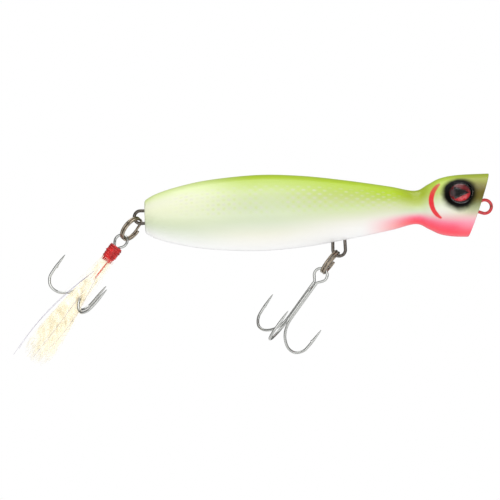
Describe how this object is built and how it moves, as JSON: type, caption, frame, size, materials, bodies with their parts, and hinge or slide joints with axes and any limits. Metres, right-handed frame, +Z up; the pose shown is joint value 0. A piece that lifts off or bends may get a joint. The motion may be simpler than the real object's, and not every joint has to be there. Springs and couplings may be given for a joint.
{
  "type": "topwater fishing lure",
  "caption": "Hollow topwater popper with a cupped slanted face, a line-tie loop, and treble hooks on split rings under the belly and at the tail, the tail one dressed with a hair skirt.",
  "frame": {"origin": "centre of the line-tie loop at the nose, in the parting plane", "axes": "+X from tail to nose, +Z up through the lure's back, +Y to the lure's left side; the hooks hang down and trail aft"},
  "size_m": [0.1784, 0.028, 0.068],
  "materials": {
    "body_paint": "gloss",
    "tie_red": "gloss",
    "hanger_wire": "satin",
    "ball_steel": "polished",
    "eye_foil": "gloss",
    "eye_dome": "gloss",
    "ring_steel": "satin",
    "hook_steel": "polished",
    "wrap_thread": "satin",
    "skirt_hair": "matte",
    "strand": "gloss"
  },
  "bodies": {
    "lure_body": {"shell_right": "body_paint", "shell_left": "body_paint", "line_tie": "tie_red", "belly_hanger": "hanger_wire", "tail_hanger": "hanger_wire", "ballast_balls": "ball_steel", "eye_foil_right": "eye_foil", "eye_foil_left": "eye_foil", "eye_dome_right": "eye_dome", "eye_dome_left": "eye_dome"},
    "front_rattle": {"rattle_ball_front": "ball_steel"},
    "middle_rattle": {"rattle_ball_middle": "ball_steel"},
    "rear_rattle": {"rattle_ball_rear": "ball_steel"},
    "belly_ring": {"belly_split_ring": "ring_steel"},
    "tail_ring": {"tail_split_ring": "ring_steel"},
    "belly_hook": {"belly_hook_double": "hook_steel", "belly_hook_single": "hook_steel"},
    "tail_hook": {"tail_hook_double": "hook_steel", "tail_hook_single": "hook_steel", "thread_wrap": "wrap_thread", "hair_skirt": "skirt_hair", "flash_strands": "strand"}
  },
  "joints": [
    {"name": "belly_ring_swing", "type": "hinge", "parent": "lure_body", "child": "belly_ring", "pos_m": [-0.0541, 0, -0.01396], "axis": [0, 1, 0], "range_deg": [-110, 35]},
    {"name": "belly_hook_swing", "type": "hinge", "parent": "belly_ring", "child": "belly_hook", "pos_m": [-0.05973, 0, -0.02104], "axis": [0.7712, -0.1702, -0.6134], "range_deg": [-60, 60]},
    {"name": "tail_ring_swing", "type": "hinge", "parent": "lure_body", "child": "tail_ring", "pos_m": [-0.1267, 0, 0.00064], "axis": [0, 1, 0], "range_deg": [-22, 110]},
    {"name": "tail_hook_swing", "type": "hinge", "parent": "tail_ring", "child": "tail_hook", "pos_m": [-0.13256, 0, -0.00612], "axis": [0.6794, -0.4384, -0.5885], "range_deg": [-60, 60]},
    {"name": "front_rattle_slide", "type": "slide", "parent": "lure_body", "child": "front_rattle", "axis": [1, 0, 0], "range_m": [-0.0015, 0.0015]},
    {"name": "middle_rattle_slide", "type": "slide", "parent": "lure_body", "child": "middle_rattle", "axis": [1, 0, 0], "range_m": [-0.0015, 0.0015]},
    {"name": "rear_rattle_slide", "type": "slide", "parent": "lure_body", "child": "rear_rattle", "axis": [1, 0, 0], "range_m": [-0.0015, 0.0015]}
  ]
}
